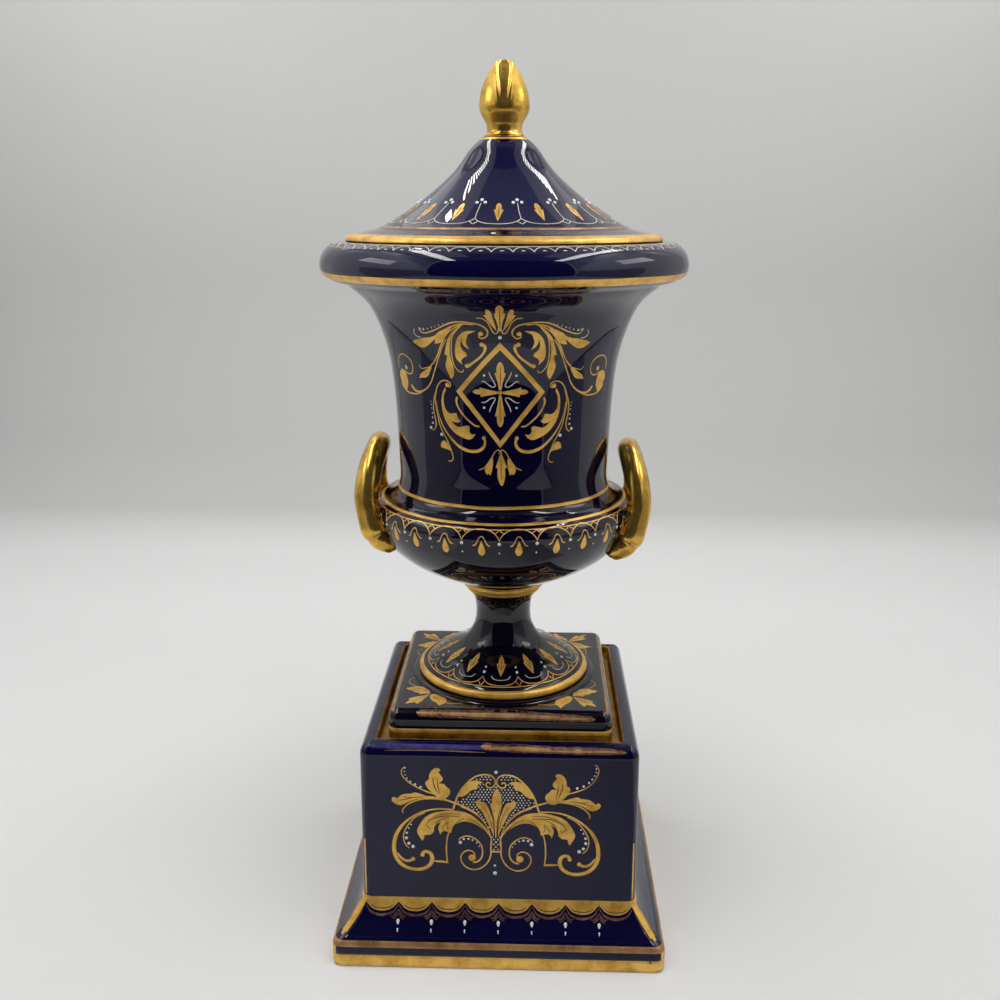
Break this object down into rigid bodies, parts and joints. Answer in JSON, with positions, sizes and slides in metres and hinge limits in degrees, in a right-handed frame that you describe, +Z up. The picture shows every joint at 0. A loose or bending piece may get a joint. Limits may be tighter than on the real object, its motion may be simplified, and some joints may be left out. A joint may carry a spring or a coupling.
{
  "type": "mantel urn",
  "caption": "Covered campana urn with rolled lip, upright loop handles and bud finial, standing in the recess of a square plinth with a flared base. The lid lifts off.",
  "frame": {"origin": "centre of the plinth's underside", "axes": "+Z up; the front, with the painted panel, faces -Y; the handles are at +X and -X"},
  "size_m": [0.0834, 0.0834, 0.203],
  "materials": {
    "cobalt_porcelain": "gloss",
    "gilding": "satin",
    "enamel": "gloss",
    "bisque": "matte"
  },
  "bodies": {
    "root": {"lid": "cobalt_porcelain", "urn": "cobalt_porcelain", "plinth": "cobalt_porcelain"}
  },
  "joints": []
}
